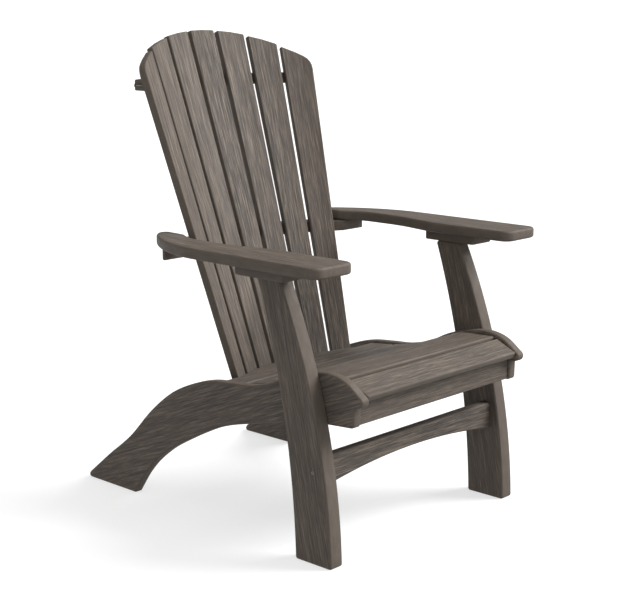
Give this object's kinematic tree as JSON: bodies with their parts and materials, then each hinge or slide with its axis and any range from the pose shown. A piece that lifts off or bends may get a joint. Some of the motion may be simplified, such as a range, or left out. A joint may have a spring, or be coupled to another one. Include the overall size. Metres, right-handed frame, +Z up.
{
  "type": "adirondack chair",
  "caption": "Fan-back adirondack chair: sloping slatted seat, reclined fan of back slats, broad flat arms, rear legs in one piece with the seat sides.",
  "frame": {"origin": "on the floor, in the middle of the chair's width and depth", "axes": "+Z up, -Y the front of the chair where the sitter's legs go, +X the sitter's left"},
  "size_m": [0.782, 0.934, 1.1309],
  "materials": {
    "lumber": "weathered dark grey-brown poly lumber, brushed along each board in a fine streaked wood grain, matt",
    "hardware": "dark coated stainless screws and bolts, satin"
  },
  "bodies": {
    "root": {"side_board_left": "lumber", "side_board_right": "lumber", "front_leg_left": "lumber", "front_leg_right": "lumber", "arm_left": "lumber", "arm_right": "lumber", "arm_plate_left": "lumber", "arm_plate_right": "lumber", "seat_slat_1": "lumber", "seat_slat_2": "lumber", "seat_slat_3": "lumber", "seat_slat_4": "lumber", "seat_slat_5": "lumber", "seat_cleat_left": "lumber", "seat_cleat_right": "lumber", "apron": "lumber", "front_stretcher": "lumber", "back_slat_1": "lumber", "back_slat_2": "lumber", "back_slat_3": "lumber", "back_slat_4": "lumber", "back_slat_5": "lumber", "back_slat_6": "lumber", "back_slat_7": "lumber", "back_rail_lower": "lumber", "back_rail_arm": "lumber", "back_rail_top": "lumber", "leg_bolt_left_1": "hardware", "leg_bolt_left_2": "hardware", "leg_bolt_right_1": "hardware", "leg_bolt_right_2": "hardware", "stretcher_bolt_left": "hardware", "stretcher_bolt_right": "hardware", "arm_screw_left_1": "hardware", "arm_screw_left_2": "hardware", "arm_screw_left_3": "hardware", "arm_screw_right_1": "hardware", "arm_screw_right_2": "hardware", "arm_screw_right_3": "hardware", "slat_screw_lower_1": "hardware", "slat_screw_lower_2": "hardware", "slat_screw_lower_3": "hardware", "slat_screw_lower_4": "hardware", "slat_screw_lower_5": "hardware", "slat_screw_lower_6": "hardware", "slat_screw_lower_7": "hardware", "slat_screw_arm_1": "hardware", "slat_screw_arm_2": "hardware", "slat_screw_arm_3": "hardware", "slat_screw_arm_4": "hardware", "slat_screw_arm_5": "hardware", "slat_screw_arm_6": "hardware", "slat_screw_arm_7": "hardware", "slat_screw_top_1": "hardware", "slat_screw_top_2": "hardware", "slat_screw_top_3": "hardware", "slat_screw_top_4": "hardware", "slat_screw_top_5": "hardware", "slat_screw_top_6": "hardware", "slat_screw_top_7": "hardware"}
  },
  "joints": []
}
